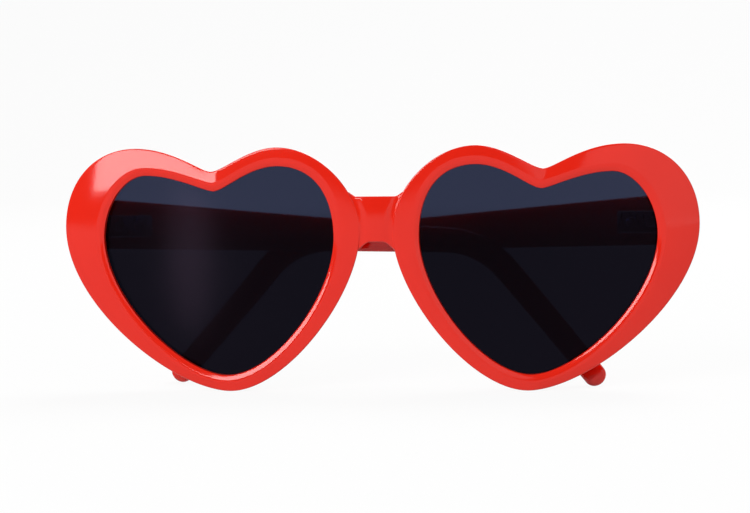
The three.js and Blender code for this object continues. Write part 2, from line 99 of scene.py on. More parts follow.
# %% Camera
IMAGE_WIDTH, IMAGE_HEIGHT = 750, 513
TARGET_PIXEL = (376.3, 269.3)
TARGET_HEIGHT = 16.0
PIXELS_PER_MM = 7.688
CAMERA_DISTANCE = 320.0
CAMERA_AZIMUTH = math.radians(5.88)
CAMERA_ELEVATION = math.radians(3.66)
CAMERA_ROLL = math.radians(-0.75)
CLIP_START = 10.0


def direction(azimuth, elevation):
    """Unit vector from the glasses. Azimuth 0 is straight in front, and grows to the picture's right."""
    flat = math.cos(elevation)
    return Vector((math.sin(azimuth) * flat, -math.cos(azimuth) * flat, math.sin(elevation)))


target = Vector((0, front_y, TARGET_HEIGHT))
back = direction(CAMERA_AZIMUTH, CAMERA_ELEVATION)
camera_data = bpy.data.cameras.new("photo_camera")
camera_data.lens = PIXELS_PER_MM * CAMERA_DISTANCE / IMAGE_WIDTH * camera_data.sensor_width
camera_data.shift_x = (IMAGE_WIDTH / 2 - TARGET_PIXEL[0]) / IMAGE_WIDTH
camera_data.shift_y = (TARGET_PIXEL[1] - IMAGE_HEIGHT / 2) / IMAGE_WIDTH
camera_data.clip_start = CLIP_START * MM
camera = bpy.data.objects.new("photo_camera", camera_data)
bpy.context.scene.collection.objects.link(camera)
stand = Matrix.Translation((target + back * CAMERA_DISTANCE) * MM)
aim = (-back).to_track_quat("-Z", "Y").to_matrix().to_4x4()
camera.matrix_world = stand @ aim @ Matrix.Rotation(CAMERA_ROLL, 4, "Z")
bpy.context.scene.camera = camera
bpy.context.scene.view_settings.view_transform = "Standard"
print("focal length", round(camera_data.lens, 1), "mm")

# %% [markdown]
# ## Node helpers
# A finish in Blender is a small graph. Most of these graphs need the same things: a noise, in
# the piece's own coordinates, that runs between two values, or a change along one axis.
# Writing those once keeps each finish short enough to read.

# %% New finishes, noises and changes along an axis


def new_finish(name):
    finish = bpy.data.materials.new(name)
    finish.use_nodes = True
    tree = finish.node_tree
    return finish, tree, tree.nodes["Principled BSDF"]


def set_inputs(node, values):
    for socket, value in values.items():
        node.inputs[socket].default_value = value


def noise(tree, per_mm, detail, stretch=(1, 1, 1)):
    """A noise in the piece's own coordinates, with per_mm waves to the millimetre."""
    place = tree.nodes.new("ShaderNodeTexCoord")
    scale = tree.nodes.new("ShaderNodeMapping")
    scale.inputs["Scale"].default_value = [s * per_mm / MM for s in stretch]
    texture = tree.nodes.new("ShaderNodeTexNoise")
    set_inputs(texture, {"Scale": 1.0, "Detail": detail})
    tree.links.new(place.outputs["Object"], scale.inputs["Vector"])
    tree.links.new(scale.outputs["Vector"], texture.inputs["Vector"])
    return texture.outputs["Fac"]


def along(tree, coordinate, axis, start, end, low=0.0, high=1.0, curve="LINEAR"):
    """Runs from low to high as one axis of a texture coordinate goes from start to end."""
    place = tree.nodes.new("ShaderNodeTexCoord")
    split = tree.nodes.new("ShaderNodeSeparateXYZ")
    change = tree.nodes.new("ShaderNodeMapRange")
    change.interpolation_type = curve
    set_inputs(change, {"From Min": start, "From Max": end, "To Min": low, "To Max": high})
    tree.links.new(place.outputs[coordinate], split.inputs["Vector"])
    tree.links.new(split.outputs[axis], change.inputs["Value"])
    return change.outputs["Result"]


print("noises and changes are ready")

# %% Mixes, sums and bumps


def between(tree, factor, low, high, data_type="FLOAT"):
    """Runs from low to high as the factor goes from 0 to 1."""
    mix = tree.nodes.new("ShaderNodeMix")
    mix.data_type = data_type
    sockets = [s for s in mix.inputs if s.enabled]
    sockets[-2].default_value = low
    sockets[-1].default_value = high
    tree.links.new(factor, sockets[0])
    return next(s for s in mix.outputs if s.enabled)


def calculate(tree, operation, first, second):
    """A sum of two sockets, or another operation on them."""
    node = tree.nodes.new("ShaderNodeMath")
    node.operation = operation
    tree.links.new(first, node.inputs[0])
    tree.links.new(second, node.inputs[1])
    return node.outputs["Value"]


def bump(tree, shader, height, strength, distance):
    node = tree.nodes.new("ShaderNodeBump")
    set_inputs(node, {"Strength": strength, "Distance": distance * MM})
    tree.links.new(height, node.inputs["Height"])
    tree.links.new(node.outputs["Normal"], shader.inputs["Normal"])


print("mixes, sums and bumps are ready")

# %% [markdown]
# ## Red moulded plastic
# The front and the temples are injection moulded. Even good moulded plastic has slow drifts of
# colour where the melt flowed, a gloss that varies a little, and a faint orange-peel. A slow noise
# does the colour, a finer one the gloss, and a very low bump the peel. The temples are polished all
# over, and thin enough to let some red light through, which subsurface scattering gives. The front
# is polished on its face only. Its walls and its back keep the satin of the mould, so there the way
# a surface faces, read from its normal, adds to the roughness.

# %% Red plastic
RED_DEEP = (0.74, 0.011, 0.002, 1)
RED_BRIGHT = (0.82, 0.017, 0.004, 1)
FLOW_NOISE = {"per_mm": 0.09, "detail": 2.0}
POLISH_NOISE = {"per_mm": 0.5, "detail": 3.0}
POLISH_ROUGHNESS = (0.07, 0.11)
PEEL_NOISE = {"per_mm": 1.6, "detail": 2.0}
PEEL_STRENGTH = 0.05
PEEL_HEIGHT = 0.05
SATIN = 0.45
SATIN_TURN = (0.02, 0.10)
PLASTIC_IOR = 1.49
PLASTIC_SPECULAR = 0.37
TEMPLE_GLOW = 0.9
GLOW_DEPTH = 4.0
GLOW_REACH = (1.0, 0.10, 0.06)


def red_plastic(name, glow, polished_behind):
    finish, tree, shader = new_finish(name)
    colour = between(tree, noise(tree, **FLOW_NOISE), RED_DEEP, RED_BRIGHT, "RGBA")
    gloss = between(tree, noise(tree, **POLISH_NOISE), *POLISH_ROUGHNESS)
    if not polished_behind:
        satin = along(tree, "Normal", "Y", *SATIN_TURN, high=SATIN)
        gloss = calculate(tree, "ADD", satin, gloss)
    tree.links.new(colour, shader.inputs["Base Color"])
    tree.links.new(gloss, shader.inputs["Roughness"])
    bump(tree, shader, noise(tree, **PEEL_NOISE), PEEL_STRENGTH, PEEL_HEIGHT)
    set_inputs(shader, {
        "IOR": PLASTIC_IOR,
        "Specular IOR Level": PLASTIC_SPECULAR,
        "Subsurface Weight": glow,
        "Subsurface Radius": GLOW_REACH,
        "Subsurface Scale": GLOW_DEPTH * MM,
    })
    return finish


front_red = red_plastic("red_front_plastic", 0.0, polished_behind=False)
temple_red = red_plastic("red_temple_plastic", TEMPLE_GLOW, polished_behind=True)
print(front_red.name, "and", temple_red.name, "are ready")

# %% [markdown]
# ## Smoke lens
# The lens is tinted plastic, so what is behind it shows through, dark and a little blue. Glass
# could be faked with plain black, but then the temples behind would vanish. A transmitting
# shader keeps them. The tint deepens towards the tip of the heart; that darker foot is painted
# shade, standing in for the shadow seen through the lower lens. A thin coat on the lens keeps its
# reflections weak and a little purple.

# %% Smoke lens
TINT_TOP = (0.027, 0.034, 0.065, 1)
# painted shade: the foot of the lens is darkened to stand in for the shadow seen through it
TINT_FOOT_AND_PAINTED_SHADE = (0.0026, 0.0033, 0.0060, 1)
PAINTED_SHADE_HEIGHTS = (18.0, 24.5)
LENS_NOISE = {"per_mm": 0.25, "detail": 2.0}
LENS_ROUGHNESS = (0.12, 0.18)
COATED_IOR = 1.14
COAT_TINT = (0.95, 0.60, 0.95, 1)


def smoke_lens():
    finish, tree, shader = new_finish("smoke_lens_plastic")
    painted_shade_heights = [height * MM for height in PAINTED_SHADE_HEIGHTS]
    # the tint darkens from the top down to the foot: painted shade for the shadow seen behind the lens
    rise = along(tree, "Object", "Z", *painted_shade_heights, curve="SMOOTHSTEP")
    tint_and_painted_shade = between(tree, rise, TINT_FOOT_AND_PAINTED_SHADE, TINT_TOP, "RGBA")
    polish = between(tree, noise(tree, **LENS_NOISE), *LENS_ROUGHNESS)
    tree.links.new(tint_and_painted_shade, shader.inputs["Base Color"])
    tree.links.new(polish, shader.inputs["Roughness"])
    set_inputs(shader, {"IOR": COATED_IOR, "Specular Tint": COAT_TINT, "Transmission Weight": 1.0})
    return finish


smoke = smoke_lens()
print(smoke.name, "has", len(smoke.node_tree.nodes), "nodes")

# %% [markdown]
# ## Nickel and steel
# The hinge leaves are stamped and nickel plated, and the screws are bright steel. An anisotropic
# shader could give the leaves their brushed look, but it needs a tangent on every face. A noise
# stretched along one axis does it from the piece's own coordinates, in the colour, the gloss and
# the bump. The screws are too small to show a direction, so their noise is even.

# %% Metals
GRAIN_NOISE = {"per_mm": 4.0, "detail": 3.0}
GRAIN_STRENGTH = 0.12
GRAIN_HEIGHT = 0.02
NICKEL = {
    "dark": (0.52, 0.50, 0.46, 1),
    "light": (0.70, 0.68, 0.64, 1),
    "roughness": (0.22, 0.36),
    "stretch": (1, 1, 0.15),
}
STEEL = {
    "dark": (0.42, 0.42, 0.44, 1),
    "light": (0.60, 0.60, 0.62, 1),
    "roughness": (0.18, 0.32),
    "stretch": (1, 1, 1),
}


def metal(name, dark, light, roughness, stretch):
    finish, tree, shader = new_finish(name)
    grain = noise(tree, **GRAIN_NOISE, stretch=stretch)
    tree.links.new(between(tree, grain, dark, light, "RGBA"), shader.inputs["Base Color"])
    tree.links.new(between(tree, grain, *roughness), shader.inputs["Roughness"])
    bump(tree, shader, grain, GRAIN_STRENGTH, GRAIN_HEIGHT)
    set_inputs(shader, {"Metallic": 1.0})
    return finish


nickel = metal("nickel_plate", **NICKEL)
steel = metal("screw_steel", **STEEL)
print(nickel.name, "and", steel.name, "are ready")

# %% [markdown]
# ## Mesh helpers
# Nearly every piece here is a section carried along a path: the rim, the bridge, a temple. So
# one function skins a row of rings. Another rounds the corners of an outline, so that a section
# is written with only the corners it needs. Booleans join and cut, as a mould maker would.

# %% Skins


def add_object(name, points, faces):
    """A mesh object from points in millimetres, with its faces turned outwards."""
    mesh = bpy.data.meshes.new(name)
    mesh.from_pydata([tuple(Vector(p) * MM) for p in points], [], faces)
    work = bmesh.new()
    work.from_mesh(mesh)
    bmesh.ops.recalc_face_normals(work, faces=work.faces)
    work.to_mesh(mesh)
    work.free()
    made = bpy.data.objects.new(name, mesh)
    bpy.context.scene.collection.objects.link(made)
    return made


def skin(name, rings, looped=False):
    """Joins rings of equally many points. A skin that is not looped gets a face over each end."""
    count = len(rings[0])
    points = [p for ring in rings for p in ring]
    faces = []
    for r in range(len(rings) if looped else len(rings) - 1):
        here = r * count
        there = (r + 1) % len(rings) * count
        for i in range(count):
            j = (i + 1) % count
            faces.append((here + i, here + j, there + j, there + i))
    if not looped:
        faces.append(tuple(range(count)))
        faces.append(tuple(range(len(points) - count, len(points))))
    return add_object(name, points, faces)


print("skins are ready")

# %% Rounded outlines


def rounded(corners):
    """Outline with each corner (x, y, radius, steps) eased over its radius. No steps leave it sharp."""
    outline = []
    for i, (x, y, radius, steps) in enumerate(corners):
        here = Vector((x, y))
        if steps == 0:
            outline.append(here)
            continue
        before = Vector(corners[i - 1][:2]) - here
        after = Vector(corners[(i + 1) % len(corners)][:2]) - here
        reach = radius / math.tan(before.angle(after) / 2)
        reach = min(reach, before.length / 2, after.length / 2)
        start = here + before.normalized() * reach
        end = here + after.normalized() * reach
        for step in range(steps + 1):
            t = step / steps
            outline.append(start.lerp(here, t).lerp(here.lerp(end, t), t))
    return outline


def rectangle(x0, x1, y0, y1, radius, steps):
    places = [(x0, y0), (x1, y0), (x1, y1), (x0, y1)]
    return rounded([(x, y, radius, steps) for x, y in places])


print("outlines are ready")

# %% Join, place and dress
SMOOTH_ANGLE = math.radians(38)
MIRROR = Matrix.Scale(-1, 4, (1, 0, 0))
SIDES = {"left": Matrix.Identity(4), "right": MIRROR}


def combine(base, others, operation):
    """Joins the others to the base or cuts them from it, one by one, and removes them."""
    for other in others:
        cutter = base.modifiers.new(operation.lower(), "BOOLEAN")
        cutter.operation = operation
        cutter.solver = "EXACT"
        cutter.object = other
        bpy.context.view_layer.update()
        shaped = base.evaluated_get(bpy.context.evaluated_depsgraph_get())
        mesh = bpy.data.meshes.new_from_object(shaped)
        base.modifiers.clear()
        base.data = mesh
        bpy.data.objects.remove(other)
    return base


def moved(made, matrix):
    """Carries a mesh by a matrix whose translation is in millimetres."""
    placed = matrix.copy()
    placed.translation = matrix.translation * MM
    made.data.transform(placed)
    if placed.determinant() < 0:
        made.data.flip_normals()
    return made


def dress(made, finish, body, slot, *nodes):
    """Gives a piece its finish and its body, and lets it stand for its solids."""
    made.data.materials.clear()
    made.data.materials.append(finish)
    made.data.shade_smooth()
    made.data.set_sharp_from_angle(angle=SMOOTH_ANGLE)
    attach(made, body)
    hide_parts(*nodes)
    print(made.name, "has", len(made.data.vertices), "points and rides on", body)
    return made


print("edges are smooth up to", round(math.degrees(SMOOTH_ANGLE)), "degrees")

# %% [markdown]
# ## The heart
# A heart could be traced point by point. It is easier to change as six Bezier curves between
# six anchors: the cleft, the two tops, the two sides and the tip. Every anchor's tangent lies
# along an axis, so an anchor is a place and the lengths of its two handles. The rim's outer edge
# stands off the lens opening by a different amount at each anchor, widest at the outer side.

# %% Heart anchors
OPENING_HEIGHT = 27.4
WIDEST_HEIGHT = 18.2
OUTWARD = Vector((1, 0))
INWARD = Vector((-1, 0))
UP = Vector((0, 1))
DOWN = Vector((0, -1))

# place from the cleft line and the lowest point of the opening, travel, handles before and after
OPENING = {
    "cleft": (0, OPENING_HEIGHT - 3.2, OUTWARD, 1.5, 1.2),
    "outer_top": (9.1, OPENING_HEIGHT - 1.1, OUTWARD, 4.0, 3.1),
    "outer_side": (14.9, WIDEST_HEIGHT, DOWN, 4.0, 8.5),
    "tip": (-1.5, 0, INWARD, 5.8, 6.0),
    "inner_side": (-15.9, WIDEST_HEIGHT, UP, 7.9, 5.4),
    "inner_top": (-8.5, OPENING_HEIGHT, OUTWARD, 4.9, 3.8),
}
# offset of the rim's outer edge from the opening, and its handles
RIM_EDGE = {
    "cleft": (0.3, 2.6, 1.5, 1.3),
    "outer_top": (1.5, 3.6, 5.2, 5.5),
    "outer_side": (5.5, 1.2, 6.4, 10.4),
    "tip": (-0.4, -2.1, 7.5, 7.5),
    "inner_side": (-3.5, 0.7, 8.2, 5.5),
    "inner_top": (0.0, 2.5, 5.5, 3.7),
}
opening_foot = -RIM_EDGE["tip"][1]
print("heart of", len(OPENING), "anchors, its opening", opening_foot, "mm above the foot of the rim")

# %% Heart outlines
HEART_PITCH = 43.0
STATIONS = 56


def outline_of(anchors):
    """Points round the heart, with STATIONS of them from each anchor to the next."""
    points = []
    for i, (place, travel, _, after) in enumerate(anchors):
        to_place, to_travel, before, _ = anchors[(i + 1) % len(anchors)]
        handles = (place + travel * after, to_place - to_travel * before)
        points += interpolate_bezier(place, *handles, to_place, STATIONS + 1)[:-1]
    return [Vector(p[:2]) for p in points]


opening_anchors = []
rim_anchors = []
for name, (x, z, travel, before, after) in OPENING.items():
    dx, dz, rim_before, rim_after = RIM_EDGE[name]
    place = Vector((HEART_PITCH / 2 + x, opening_foot + z))
    opening_anchors.append((place, travel, before, after))
    rim_anchors.append((place + Vector((dx, dz)), travel, rim_before, rim_after))
opening = outline_of(opening_anchors)
rim_edge = outline_of(rim_anchors)
print("heart of", len(opening), "stations, rim up to", round(max(p.y for p in rim_edge), 2), "mm high")

# %% [markdown]
# ## The rim
# Cut across, the rim is a small moulding: a narrow bevel beside the lens, a flat, a ridge, and
# a crown that falls away to the outer edge. Behind, a groove holds the lens. The crown is steep
# on the broad outer lobe and nearly flat towards the bridge. Carrying that section round the
# heart gives even quads, and light runs along them without a wobble. The outer wall tapers to
# the back, so that the piece leaves its mould.

# %% Crown of the rim
CROWN_SLOPES = (0.03, 0.16)
CROWN_BLEND = (-1.2, 0.4)
CROWN_START, CROWN_GAIN = 0.85, 0.3


def ease(low, high, value):
    """Goes smoothly from 0 to 1 as a value goes from low to high."""
    share = min(1.0, max(0.0, (value - low) / (high - low)))
    return share * share * (3 - 2 * share)


def across_rim(station, reach):
    """The place at a distance from the opening, on the way to the rim's outer edge."""
    inner = opening[station]
    return inner + (rim_edge[station] - inner).normalized() * reach


def crown(station, reach, width, ridge):
    """How far the crown has fallen at a distance from the opening."""
    outward = ease(*CROWN_BLEND, opening[station].x - HEART_PITCH / 2)
    slope = CROWN_SLOPES[0] + (CROWN_SLOPES[1] - CROWN_SLOPES[0]) * outward
    run = reach - ridge
    return slope * run * (CROWN_START + CROWN_GAIN * run / (width - ridge))


rim_widths = [(outer - inner).length for inner, outer in zip(opening, rim_edge)]
print("rim from", round(min(rim_widths), 2), "to", round(max(rim_widths), 2), "mm wide")

# %% Sizes of the rim's section
BEVEL_WIDTH = 0.6
BEVEL_DEPTH = 0.2
FLAT_DEPTH = 0.02
RIDGE_PLACE = 1.15
CROWN_STEPS = 20
RIM_TAPER = 0.35
GROOVE_FRONT = 1.1
GROOVE_DEPTH = 0.7
REAR_LIP_RELIEF = 0.3
LENS_THICKNESS = 1.0
LENS_CLEARANCE = 0.1

# radius and steps of each kind of corner
FRONT_LIP_ROUND = (0.06, 2)
LENS_EDGE_ROUND = (0.2, 6)
BEVEL_ROUND = (1.5, 6)
RIDGE_ROUND = (0.3, 2)
EDGE_ROUND = (0.18, 7)
BACK_ROUND = (0.5, 5)
REAR_LIP_ROUND = (0.12, 3)
GROOVE_ROUND = (0.04, 1)
SHARP = (0, 0)

groove_back = GROOVE_FRONT + LENS_THICKNESS + 2 * LENS_CLEARANCE
print("lens groove from", GROOVE_FRONT, "to", round(groove_back, 2), "mm behind the ridge")

# %% Section of the rim


def rim_section(station):
    width = rim_widths[station]
    ridge = min(RIDGE_PLACE, width / 2)
    crown_end = width - 2 * EDGE_ROUND[0]
    corners = [
        (0, GROOVE_FRONT, *FRONT_LIP_ROUND),
        (0, BEVEL_DEPTH, *LENS_EDGE_ROUND),
        (BEVEL_WIDTH, FLAT_DEPTH, *BEVEL_ROUND),
        (ridge, 0, *RIDGE_ROUND),
    ]
    for step in range(1, CROWN_STEPS + 1):
        reach = ridge + (crown_end - ridge) * step / CROWN_STEPS
        corners.append((reach, crown(station, reach, width, ridge), *SHARP))
    corners += [
        (width, crown(station, width, width, ridge), *EDGE_ROUND),
        (width - RIM_TAPER, RIM_DEPTH, *BACK_ROUND),
        (REAR_LIP_RELIEF, RIM_DEPTH, *REAR_LIP_ROUND),
        (REAR_LIP_RELIEF, groove_back, *GROOVE_ROUND),
        (GROOVE_DEPTH, groove_back, *GROOVE_ROUND),
        (GROOVE_DEPTH, GROOVE_FRONT, *GROOVE_ROUND),
    ]
    places = [(across_rim(station, p.x), p.y) for p in rounded(corners)]
    return [on_front(place.x, place.y, depth) for place, depth in places]


def rim(name, matrix):
    rings = [rim_section(i) for i in range(len(opening))]
    return moved(skin(name, rings, looped=True), matrix)


front = rim("moulded_front", SIDES["left"])
print("one rim has", len(front.data.polygons), "faces")

# %% [markdown]
# ## The bridge
# The bridge is a bar between the hearts, crowned like a pillow. Its top edge turns up where it
# meets the rims, its foot spreads into them in an arch, and a shallow valley lies along the join.
# A join modelled with a fillet would show a crease, so the bridge's own face dives under the
# rim's, and a boolean joins them later.

# %% Face of the bridge
BRIDGE_RISE = 1.95
BRIDGE_TOP = 3.27
BRIDGE_SET_BACK = 0.03
BRIDGE_DIVE = 0.006
BRIDGE_CROWN = 0.10
VALLEY_DEPTH = 0.08
VALLEY_PLACE = 0.35
VALLEY_HALF_WIDTH = 0.8

anchor_names = list(OPENING)
tip_station = anchor_names.index("tip") * STATIONS
inner_top_station = anchor_names.index("inner_top") * STATIONS
inner_run = rim_edge[tip_station:inner_top_station + 1]
bridge_height = opening_foot + WIDEST_HEIGHT + BRIDGE_RISE


def inner_edge(height):
    """How far from the middle the rim's inner edge stands at a height."""
    low, high = next(pair for pair in zip(inner_run, inner_run[1:]) if height <= pair[1].y)
    return low.lerp(high, (height - low.y) / (high.y - low.y)).x


def bridge_depth(x, rise):
    """Depth of the bridge's face at a distance from the middle and a rise over its centre line."""
    off = (abs(x) - inner_edge(bridge_height + rise) + VALLEY_PLACE) / VALLEY_HALF_WIDTH
    valley = VALLEY_DEPTH * max(0.0, 1 - off**2) ** 2
    return BRIDGE_SET_BACK + BRIDGE_DIVE * x**2 + BRIDGE_CROWN * (rise / BRIDGE_TOP) ** 2 + valley


print("the rims stand", round(2 * inner_edge(bridge_height), 2), "mm apart at the bridge")

# %% Section of the bridge
BRIDGE_FOOT = -2.7
BRIDGE_TOP_FLARE = 0.7
BRIDGE_FOOT_FLARE = 1.8
BRIDGE_TOP_SPREAD = (2.5, 3.9)
BRIDGE_FOOT_SPREAD = (0.8, 3.6)
BRIDGE_ROUND = (0.35, 6)
BRIDGE_FOOT_ROUND = (0.15, 4)
BRIDGE_TAPER = 0.35
BRIDGE_WALL = 0.7
BRIDGE_FACE_STEPS = 14
BRIDGE_STEPS = 60

inner_side = HEART_PITCH / 2 + OPENING["inner_side"][0]
bridge_end = inner_side - GROOVE_DEPTH - BRIDGE_WALL


def bridge_section(x):
    top = BRIDGE_TOP + BRIDGE_TOP_FLARE * ease(*BRIDGE_TOP_SPREAD, abs(x))
    foot = BRIDGE_FOOT - BRIDGE_FOOT_FLARE * ease(*BRIDGE_FOOT_SPREAD, abs(x))
    corners = [
        (RIM_DEPTH, foot + BRIDGE_TAPER, *BRIDGE_ROUND),
        (RIM_DEPTH, top - BRIDGE_TAPER, *BRIDGE_ROUND),
        (bridge_depth(x, top), top, *BRIDGE_ROUND),
    ]
    face_top = top - 2 * BRIDGE_ROUND[0]
    face_foot = foot + 2 * BRIDGE_FOOT_ROUND[0]
    for step in range(BRIDGE_FACE_STEPS + 1):
        rise = face_top + (face_foot - face_top) * step / BRIDGE_FACE_STEPS
        corners.append((bridge_depth(x, rise), rise, *SHARP))
    corners.append((bridge_depth(x, foot), foot, *BRIDGE_FOOT_ROUND))
    return [on_front(x, bridge_height + p.y, p.x) for p in rounded(corners)]


def bridge():
    places = [bridge_end * (2 * i / BRIDGE_STEPS - 1) for i in range(BRIDGE_STEPS + 1)]
    return skin("bridge", [bridge_section(x) for x in places])


print("bridge of", BRIDGE_STEPS + 1, "sections, out to", round(bridge_end, 2), "mm on each side")

# %% [markdown]
# ## Lugs
# Each lug is a block behind the rim with a flat seat for a hinge. A lug could be pulled out of the
# rim's own faces, but the rim's quads do not line up with it. So the second rim, the bridge and the
# lugs are made apart and then joined to the first rim by booleans.

# %% Lugs and the joined front
FRONT_LEAF_HEIGHT = 8.4
FRONT_LEAF_INBOARD = 1.3
LUG_MARGIN = 0.25
LUG_SET_BACK = 1.1
LUG_ROOT = 0.35
LUG_CORNER = 0.8
LUG_CORNER_STEPS = 6
LUG_EDGE = 0.3
LUG_SHOULDER = 0.1


def lug(matrix):
    x0 = pin.x - FRONT_LEAF_INBOARD - LUG_MARGIN
    x1 = rim_side - LUG_SET_BACK
    half = FRONT_LEAF_HEIGHT / 2 + LUG_MARGIN
    z0 = pin.z - half
    z1 = pin.z + half
    face = front_y + lug_depth
    root = front_y + RIM_DEPTH + sag(x0) - LUG_ROOT
    levels = [(root, 0), (face - LUG_EDGE, 0), (face - LUG_SHOULDER, LUG_SHOULDER), (face, LUG_EDGE)]
    rings = []
    for y, inset in levels:
        sides = (x0 + inset, x1 - inset, z0 + inset, z1 - inset)
        ring = rectangle(*sides, LUG_CORNER - inset, LUG_CORNER_STEPS)
        rings.append([Vector((p.x, y, p.y)) for p in ring])
    return moved(skin("lug", rings), matrix)


others = [rim("rim_right", MIRROR), bridge()] + [lug(matrix) for matrix in SIDES.values()]
combine(front, others, "UNION")
print("joined front has", len(front.data.polygons), "faces")

# %% [markdown]
# ## Screws
# The leaves are held by small slotted screws. A screw is a lathe job: one profile turned round
# an axis. The slot is then cut with a thin box. The hole for it is a plain turned rod, wider by
# a clearance, so that the screw and the plastic do not share the same space.

# %% Turned shapes and slots
TURN_STEPS = 40
SLOT_WIDTH = 0.25
SLOT_DEPTH = 0.22
SLOT_OVERRUN = 2


def turned(name, profile):
    """A solid of (radius, height) turned round Z. The first and last radius may not be zero."""
    rings = []
    for radius, height in profile:
        angles = [2 * math.pi * i / TURN_STEPS for i in range(TURN_STEPS)]
        rings.append([Vector((radius * math.cos(a), radius * math.sin(a), height)) for a in angles])
    return skin(name, rings)


def block(x0, x1, y0, y1, z0, z1):
    rings = [[Vector(p + (z,)) for p in ((x0, y0), (x1, y0), (x1, y1), (x0, y1))] for z in (z0, z1)]
    return skin("block", rings)


def slotted(made, radius, top):
    """Cuts a screwdriver slot across a head of this radius and top."""
    half = SLOT_WIDTH / 2
    reach = radius * SLOT_OVERRUN
    slot = block(-reach, reach, -half, half, top - SLOT_DEPTH, top + SLOT_DEPTH)
    return combine(made, [slot], "DIFFERENCE")


print("turned shapes have", TURN_STEPS, "sides")

# %% Leaf screws and their holes
SCREW_RADIUS = 0.35
SCREW_CLEARANCE = 0.08
SCREW_HEAD_RADIUS = 0.65
SCREW_HEAD_HEIGHT = 0.35
SCREW_BITE = 1.2
SCREW_HOLE_SPARE = 0.2
SCREW_POINT_SHARE = 0.4
DOME_HEIGHT = 0.12
DOME_SHOULDER_SHARE = 0.85
DOME_SHOULDER_DROP = 0.3
DOME_CROWN_SHARE = 0.5

screw_end = LEAF_THICKNESS + SEAT_GAP + SCREW_BITE


def domed_head(radius, foot, top):
    """Profile of a screw's head, from under its rim to the small flat on its dome."""
    return [
        (radius, foot),
        (radius, top - DOME_HEIGHT),
        (radius * DOME_SHOULDER_SHARE, top - DOME_HEIGHT * DOME_SHOULDER_DROP),
        (radius * DOME_CROWN_SHARE, top),
    ]


def leaf_screw(name):
    top = SEAT_GAP + SCREW_HEAD_HEIGHT
    shank = [
        (SCREW_RADIUS * SCREW_POINT_SHARE, -screw_end),
        (SCREW_RADIUS, -screw_end + SCREW_RADIUS),
        (SCREW_RADIUS, SEAT_GAP),
    ]
    made = turned(name, shank + domed_head(SCREW_HEAD_RADIUS, SEAT_GAP, top))
    return slotted(made, SCREW_HEAD_RADIUS, top)


def screw_hole():
    radius = SCREW_RADIUS + SCREW_CLEARANCE
    return turned("hole", [(radius, -screw_end - SCREW_HOLE_SPARE), (radius, SEAT_GAP)])


print("leaf screws reach", round(screw_end, 2), "mm below the face of their leaf")

# %% Places of the screws
FRONT_LEAF_OUTBOARD = 0.85
FRONT_SCREW_SPREAD = 6.4
TEMPLE_LEAF_LENGTH = 6.2
TEMPLE_SCREW_SPREAD = 2.6

front_screw_x = (FRONT_LEAF_OUTBOARD - FRONT_LEAF_INBOARD) / 2
temple_leaf_middle = leaf_stand_off + TEMPLE_LEAF_LENGTH / 2
front_places = {"upper": FRONT_SCREW_SPREAD / 2, "lower": -FRONT_SCREW_SPREAD / 2}
temple_places = {
    "front": temple_leaf_middle - TEMPLE_SCREW_SPREAD / 2,
    "rear": temple_leaf_middle + TEMPLE_SCREW_SPREAD / 2,
}


def on_front_leaf(z):
    """Stands a screw on the front leaf at a height over the middle of the hinge."""
    place = Matrix.Translation((front_screw_x, -leaf_stand_off, z))
    return place @ Matrix.Rotation(-math.pi / 2, 4, "X")


def on_temple_leaf(y):
    """Stands a screw on the leaf of an open temple, at a distance behind the pin."""
    place = Matrix.Translation((leaf_stand_off, y, 0))
    return place @ Matrix.Rotation(-math.pi / 2, 4, "Y")


print("screw places from the pin", front_places, temple_places)

# %% Drill the front and dress it
at_pin = Matrix.Translation(pin)
holes = [
    moved(screw_hole(), matrix @ at_pin @ on_front_leaf(z))
    for matrix in SIDES.values()
    for z in front_places.values()
]
combine(front, holes, "DIFFERENCE")
dress(front, front_red, "front", "red_plastic", "front_frame")

# %% [markdown]
# ## Lenses
# A lens is a thin heart that follows the same wrap, with its edge in the rim's groove. It could
# be one flat face, but a reflection shows every flat, so the face is made of rings that shrink
# to the middle and each point takes its depth from the wrap.

# %% Lenses
LENS_RINGS = 12

lens_front = GROOVE_FRONT + LENS_CLEARANCE
lens_reach = GROOVE_DEPTH - LENS_CLEARANCE
lens_edge = [across_rim(i, lens_reach) for i in range(len(opening))]
lens_middle = lens_edge[0].lerp(lens_edge[tip_station], 0.5)


def lens_ring(share, depth):
    places = [lens_middle.lerp(p, share) for p in lens_edge]
    return [on_front(p.x, p.y, depth) for p in places]


def lens(side, matrix):
    shares = [(i + 1) / LENS_RINGS for i in range(LENS_RINGS)]
    rings = [lens_ring(share, lens_front) for share in shares]
    rings += [lens_ring(share, lens_front + LENS_THICKNESS) for share in reversed(shares)]
    made = moved(skin(f"heart_lens_{side}", rings), matrix)
    return dress(made, smoke, "front", "smoke_lens", f"lens_{side}")


lenses = [lens(side, matrix) for side, matrix in SIDES.items()]

# %% [markdown]
# ## Temples
# A temple is a rounded bar: deep at the hinge, slimmer towards the bend, then hooked down behind
# the ear and curled in a little. It is drawn open, with the pin at the origin, because its sizes
# are easy to read there, and then turned to where it lies folded. A curve with a bevel could follow
# that path, but height and thickness change by different amounts along it. So a ring is set at each
# stop, and the rings are skinned.

# %% Sizes of a temple
# height and thickness at the hinge, at the bend and at the tip
ROOT_SIZE = (6.8, 2.2)
BEND_SIZE = (3.3, 1.7)
TIP_SIZE = (3.0, 1.6)
TIP_LENGTH = 1.4
BUTT_BEVEL = 0.2
TO_BEND = 51.5
RISE = 0.3
DROOP = math.radians(3.1)
HOOK = math.radians(50)
HOOK_BOW = 3.0
BEND_RADIUS = 11.0
OVER_OPEN = math.radians(5)
ARM_STEPS, BEND_STEPS, HOOK_STEPS, TIP_STEPS = 20, 20, 16, 10

